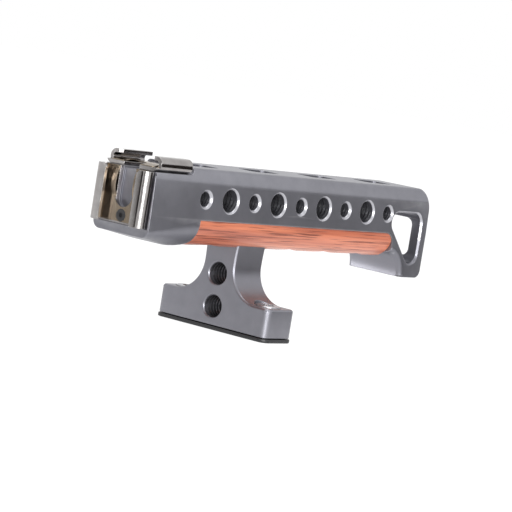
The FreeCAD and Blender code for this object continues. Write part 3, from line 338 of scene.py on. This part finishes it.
def metal_finish(name, colour, worn_colour, metallic, roughness, grain_depth, fine_scale):
    """Blasted or plated metal: clouded colour, grain and slightly brighter edges."""
    metal, shader, coordinates = new_finish(name, colour, metallic, roughness)
    grain = place_effect(metal, grain_effect, coordinates)
    grain.inputs["Fine Scale"].default_value = fine_scale
    wear = place_effect(metal, wear_effect, coordinates)
    darker = tuple(0.9 * part for part in colour)
    lighter = tuple(1.1 * part for part in colour)
    clouds = blend_colours(metal, grain.outputs["Broad"], darker, lighter)
    edges = add_node(metal, "Mix", data_type="RGBA")
    connect(metal, wear.outputs["Mask"], edges.inputs[0])
    connect(metal, clouds.outputs[2], edges.inputs[6])
    edges.inputs[7].default_value = (*worn_colour, 1)
    connect(metal, edges.outputs[2], shader.inputs["Base Color"])
    rough = vary(metal, grain.outputs["Broad"], roughness - 0.06, roughness + 0.08)
    connect(metal, rough, shader.inputs["Roughness"])
    roughen(metal, shader, grain.outputs["Fine"], grain_depth)
    return metal


def paint_mouth_highlights(metal, middle, reach, axis):
    """Painted highlight on the slanted mouths of the holes round a middle point: a lighter
    colour and a lower roughness.
    """
    nodes = metal.node_tree.nodes
    shader = next(node for node in nodes if node.type == "BSDF_PRINCIPLED")
    coordinates = next(node for node in nodes if node.type == "TEX_COORD").outputs["Object"]
    cut = place_effect(metal, mouth_highlight_effect, coordinates)
    cut.inputs["Middle"].default_value = middle
    cut.inputs["Reach"].default_value = reach
    cut.inputs["Axis"].default_value = axis
    # Painted highlight: the mouths take a lighter grey colour in place of their glints, and a
    # lower roughness.
    for socket, highlight_value in (("Base Color", (0.46, 0.46, 0.49, 1)), ("Roughness", 0.32)):
        before = shader.inputs[socket].links[0].from_socket
        colour = socket == "Base Color"
        mix = add_node(metal, "Mix", data_type="RGBA" if colour else "FLOAT")
        first, second, result = (6, 7, 2) if colour else (2, 3, 0)
        connect(metal, cut.outputs["Mask"], mix.inputs[0])
        connect(metal, before, mix.inputs[first])
        mix.inputs[second].default_value = highlight_value
        connect(metal, mix.outputs[result], shader.inputs[socket])


def dress(name, finish, edge_width):
    """Gives a node its finish, merges its loose triangles and breaks its sharp edges."""
    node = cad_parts[name]
    node.data.materials.clear()
    node.data.materials.append(finish)
    weld = node.modifiers.new("Weld", "WELD")
    weld.merge_threshold = 2e-6
    plain = node.modifiers.new("PlainFaces", "DECIMATE")
    plain.decimate_type = "DISSOLVE"
    plain.angle_limit = math.radians(0.6)
    edge = node.modifiers.new("EdgeBreak", "BEVEL")
    edge.width = edge_width
    edge.segments = 2
    edge.limit_method = "ANGLE"
    edge.angle_limit = math.radians(28)
    edge.use_clamp_overlap = False
    for face in node.data.polygons:
        face.use_smooth = True
    flat = node.modifiers.new("FlatFaces", "WEIGHTED_NORMAL")
    flat.mode = "FACE_AREA"
    flat.weight = 90


anodised = metal_finish(
    "GreyAnodised", (0.2, 0.2, 0.226), (0.42, 0.42, 0.45), 0.8, 0.36, 0.000012, 2600.0
)
# Painted highlight on the hole mouths along the cross thread row.
paint_mouth_highlights(
    anodised, middle=(0.025, 0, 0.0465), reach=(0.072, 0.02, 0.0075), axis=(0, 1, 0)
)
dress("handle_body", anodised, 0.00018)


# Cross threads: five 1/4 in and four 3/8 in threads, cut right through the bar. Their
# crests stand a little proud of the bores and are coloured near black as painted shade down in
# them.
def cut_thread(sheet, middle, reach, across, bore, pitch, depth):
    """Helical crest on the wall of a bore, reach to each side of middle, from across on."""
    start = middle - reach
    along = reach.normalized()
    turns = 2 * reach.length / pitch - 1
    bedding = 0.00004
    half_foot = 0.42 * pitch
    corners = []
    for lift, radius in (
        (-half_foot, bore + bedding),
        (0.0, bore - depth),
        (half_foot, bore + bedding),
    ):
        place = start + along * (0.5 * pitch + lift) + across * radius
        corners.append(sheet.verts.new(place))
    rim = [
        sheet.edges.new((corners[0], corners[1])),
        sheet.edges.new((corners[1], corners[2])),
        sheet.edges.new((corners[2], corners[0])),
    ]
    steps_per_turn = 20
    steps = int(turns * steps_per_turn)
    crest = bmesh.ops.spin(
        sheet,
        geom=corners + rim,
        cent=start,
        axis=along,
        dvec=along * (pitch * turns / steps),
        angle=math.tau * turns,
        steps=steps,
        use_duplicate=False,
    )
    last = [item for item in crest["geom_last"] if isinstance(item, bmesh.types.BMEdge)]
    bmesh.ops.contextual_create(sheet, geom=rim)
    bmesh.ops.contextual_create(sheet, geom=last)


def thread_piece(name, holes, finish):
    """Piece with one helical crest for each hole; a hole holds the cut_thread values."""
    mesh = bpy.data.meshes.new(name)
    sheet = bmesh.new()
    for hole in holes:
        cut_thread(sheet, **hole)
    bmesh.ops.recalc_face_normals(sheet, faces=sheet.faces)
    sheet.to_mesh(mesh)
    sheet.free()
    piece = bpy.data.objects.new(name, mesh)
    bpy.context.scene.collection.objects.link(piece)
    mesh.materials.append(finish)
    for face in mesh.polygons:
        face.use_smooth = False
    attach(piece, "root")


# Painted shade: the thread crests are near black in place of the shade inside the bores.
painted_shade_threads = metal_finish(
    "ThreadPaintedShade", (0.03, 0.03, 0.035), (0.14, 0.14, 0.15), 0.8, 0.34, 0.000006, 2600.0
)
first_hole, hole_spacing, row_height = -0.0358, 0.01353, 0.0485
quarter_inch = {"bore": 0.0026, "pitch": 0.00127, "depth": 0.00022}
three_eighths = {"bore": 0.004, "pitch": 0.0015875, "depth": 0.00028}
cross_holes = []
for number in range(9):
    small = number % 2 == 0
    cross_holes.append(
        {
            "middle": Vector((first_hole + number * hole_spacing, 0, row_height)),
            "reach": Vector((0, 0.0117 if small else 0.0119, 0)),
            "across": Vector((1, 0, 0)),
            **(quarter_inch if small else three_eighths),
        }
    )
thread_piece("cross_threads", cross_holes, painted_shade_threads)


# Stem threads: two 3/8 in threads through the stem, for arms and rods, with the same painted
# shade.
stem_holes = [
    {
        "middle": Vector((0, 0, height)),
        "reach": Vector((0.0072, 0, 0)),
        "across": Vector((0, 1, 0)),
        **three_eighths,
        "bore": 0.00405,
    }
    for height in (0.0206, 0.0085)
]
thread_piece("stem_threads", stem_holes, painted_shade_threads)


# Grip: two shells of oiled reddish wood with a finger scallop each few centimetres,
# let in flush under the bar and held by small screws from the crown pockets.
wood, wood_shader, wood_place = new_finish("OiledWood", (0.62, 0.2, 0.1), 0.0, 0.34)


def streaks(waves_per_metre, detail, distortion):
    """Noise drawn out along the grain, for the figure and the pores of the wood."""
    drawn_out = add_node(wood, "Mapping")
    drawn_out.inputs["Scale"].default_value = waves_per_metre
    connect(wood, wood_place, drawn_out.inputs["Vector"])
    noise = add_node(wood, "TexNoise")
    noise.inputs["Scale"].default_value = 1.0
    noise.inputs["Detail"].default_value = detail
    noise.inputs["Distortion"].default_value = distortion
    connect(wood, drawn_out.outputs[0], noise.inputs["Vector"])
    return noise


figure = streaks((14, 300, 300), detail=6, distortion=0.6)
pores = streaks((45, 1900, 1900), detail=3, distortion=0.0)
wood_ramp = add_node(wood, "ValToRGB")
wood_ramp.color_ramp.elements[0].position = 0.3
wood_ramp.color_ramp.elements[0].color = (0.3, 0.06, 0.03, 1)
wood_ramp.color_ramp.elements[1].position = 0.68
wood_ramp.color_ramp.elements[1].color = (0.7, 0.235, 0.125, 1)
connect(wood, figure.outputs["Fac"], wood_ramp.inputs[0])
pore_mask = add_node(wood, "MapRange")
pore_mask.inputs["From Min"].default_value = 0.36
pore_mask.inputs["From Max"].default_value = 0.46
connect(wood, pores.outputs["Fac"], pore_mask.inputs["Value"])
wood_colour = add_node(wood, "Mix", data_type="RGBA")
wood_colour.inputs[6].default_value = (0.2, 0.045, 0.022, 1)
connect(wood, pore_mask.outputs[0], wood_colour.inputs[0])
connect(wood, wood_ramp.outputs[0], wood_colour.inputs[7])
connect(wood, wood_colour.outputs[2], wood_shader.inputs["Base Color"])
connect(wood, vary(wood, pores.outputs["Fac"], 0.5, 0.24), wood_shader.inputs["Roughness"])
wood_shader.inputs["Coat Weight"].default_value = 0.25
wood_shader.inputs["Coat Roughness"].default_value = 0.2
roughen(wood, wood_shader, pore_mask.outputs[0], 0.00006)
dress("wood_grip_left", wood, 0.0003)
dress("wood_grip_right", wood, 0.0003)


# Riser: stem and foot bar milled from one block, bolted up under the bar; same finish
# as the bar. Bright broken edges run round its arcs and holes.
dress("riser_foot", anodised, 0.00018)


# Pad: dark rubber glued under the foot, so that it doesn't mark the camera.
rubber, rubber_shader, rubber_place = new_finish("PadRubber", (0.016, 0.016, 0.018), 0.0, 0.4)
rubber_grain = place_effect(rubber, grain_effect, rubber_place)
rubber_grain.inputs["Fine Scale"].default_value = 3200.0
rubber_tint = blend_colours(
    rubber, rubber_grain.outputs["Broad"], (0.012, 0.012, 0.014), (0.022, 0.022, 0.025)
)
connect(rubber, rubber_tint.outputs[2], rubber_shader.inputs["Base Color"])
connect(
    rubber,
    vary(rubber, rubber_grain.outputs["Broad"], 0.3, 0.45),
    rubber_shader.inputs["Roughness"],
)
roughen(rubber, rubber_shader, rubber_grain.outputs["Fine"], 0.00003)
dress("foot_pad", rubber, 0.0003)


# Camera screws: stainless, with a hex socket, captive in the foot.
screw_steel = metal_finish(
    "ScrewSteel", (0.4, 0.4, 0.42), (0.6, 0.6, 0.62), 1.0, 0.32, 0.00001, 1500.0
)
dress("camera_screws", screw_steel, 0.0001)


# Shoes: folded sheet steel, nickel plated and softly polished, warm where they mirror
# the surroundings.
nickel = metal_finish(
    "NickelPlate", (0.27, 0.252, 0.248), (0.7, 0.69, 0.68), 1.0, 0.15, 0.000003, 900.0
)
dress("top_shoe", nickel, 0.00012)
dress("front_shoe", nickel, 0.00012)


# Leaf springs: thin tempered steel with a straw tint.
straw = metal_finish(
    "TemperedSteel", (0.24, 0.19, 0.14), (0.5, 0.44, 0.36), 1.0, 0.2, 0.000004, 900.0
)
dress("top_shoe_spring", straw, 0.00005)
dress("front_shoe_spring", straw, 0.00005)


# Small screws: blackened steel, for the shoes, the grip and the riser.
black_steel = metal_finish(
    "BlackenedSteel", (0.05, 0.05, 0.052), (0.2, 0.2, 0.2), 0.9, 0.4, 0.00001, 1800.0
)
dress("shoe_screws", black_steel, 0.0001)
dress("grip_screws", black_steel, 0.0001)
dress("riser_screws", black_steel, 0.0001)
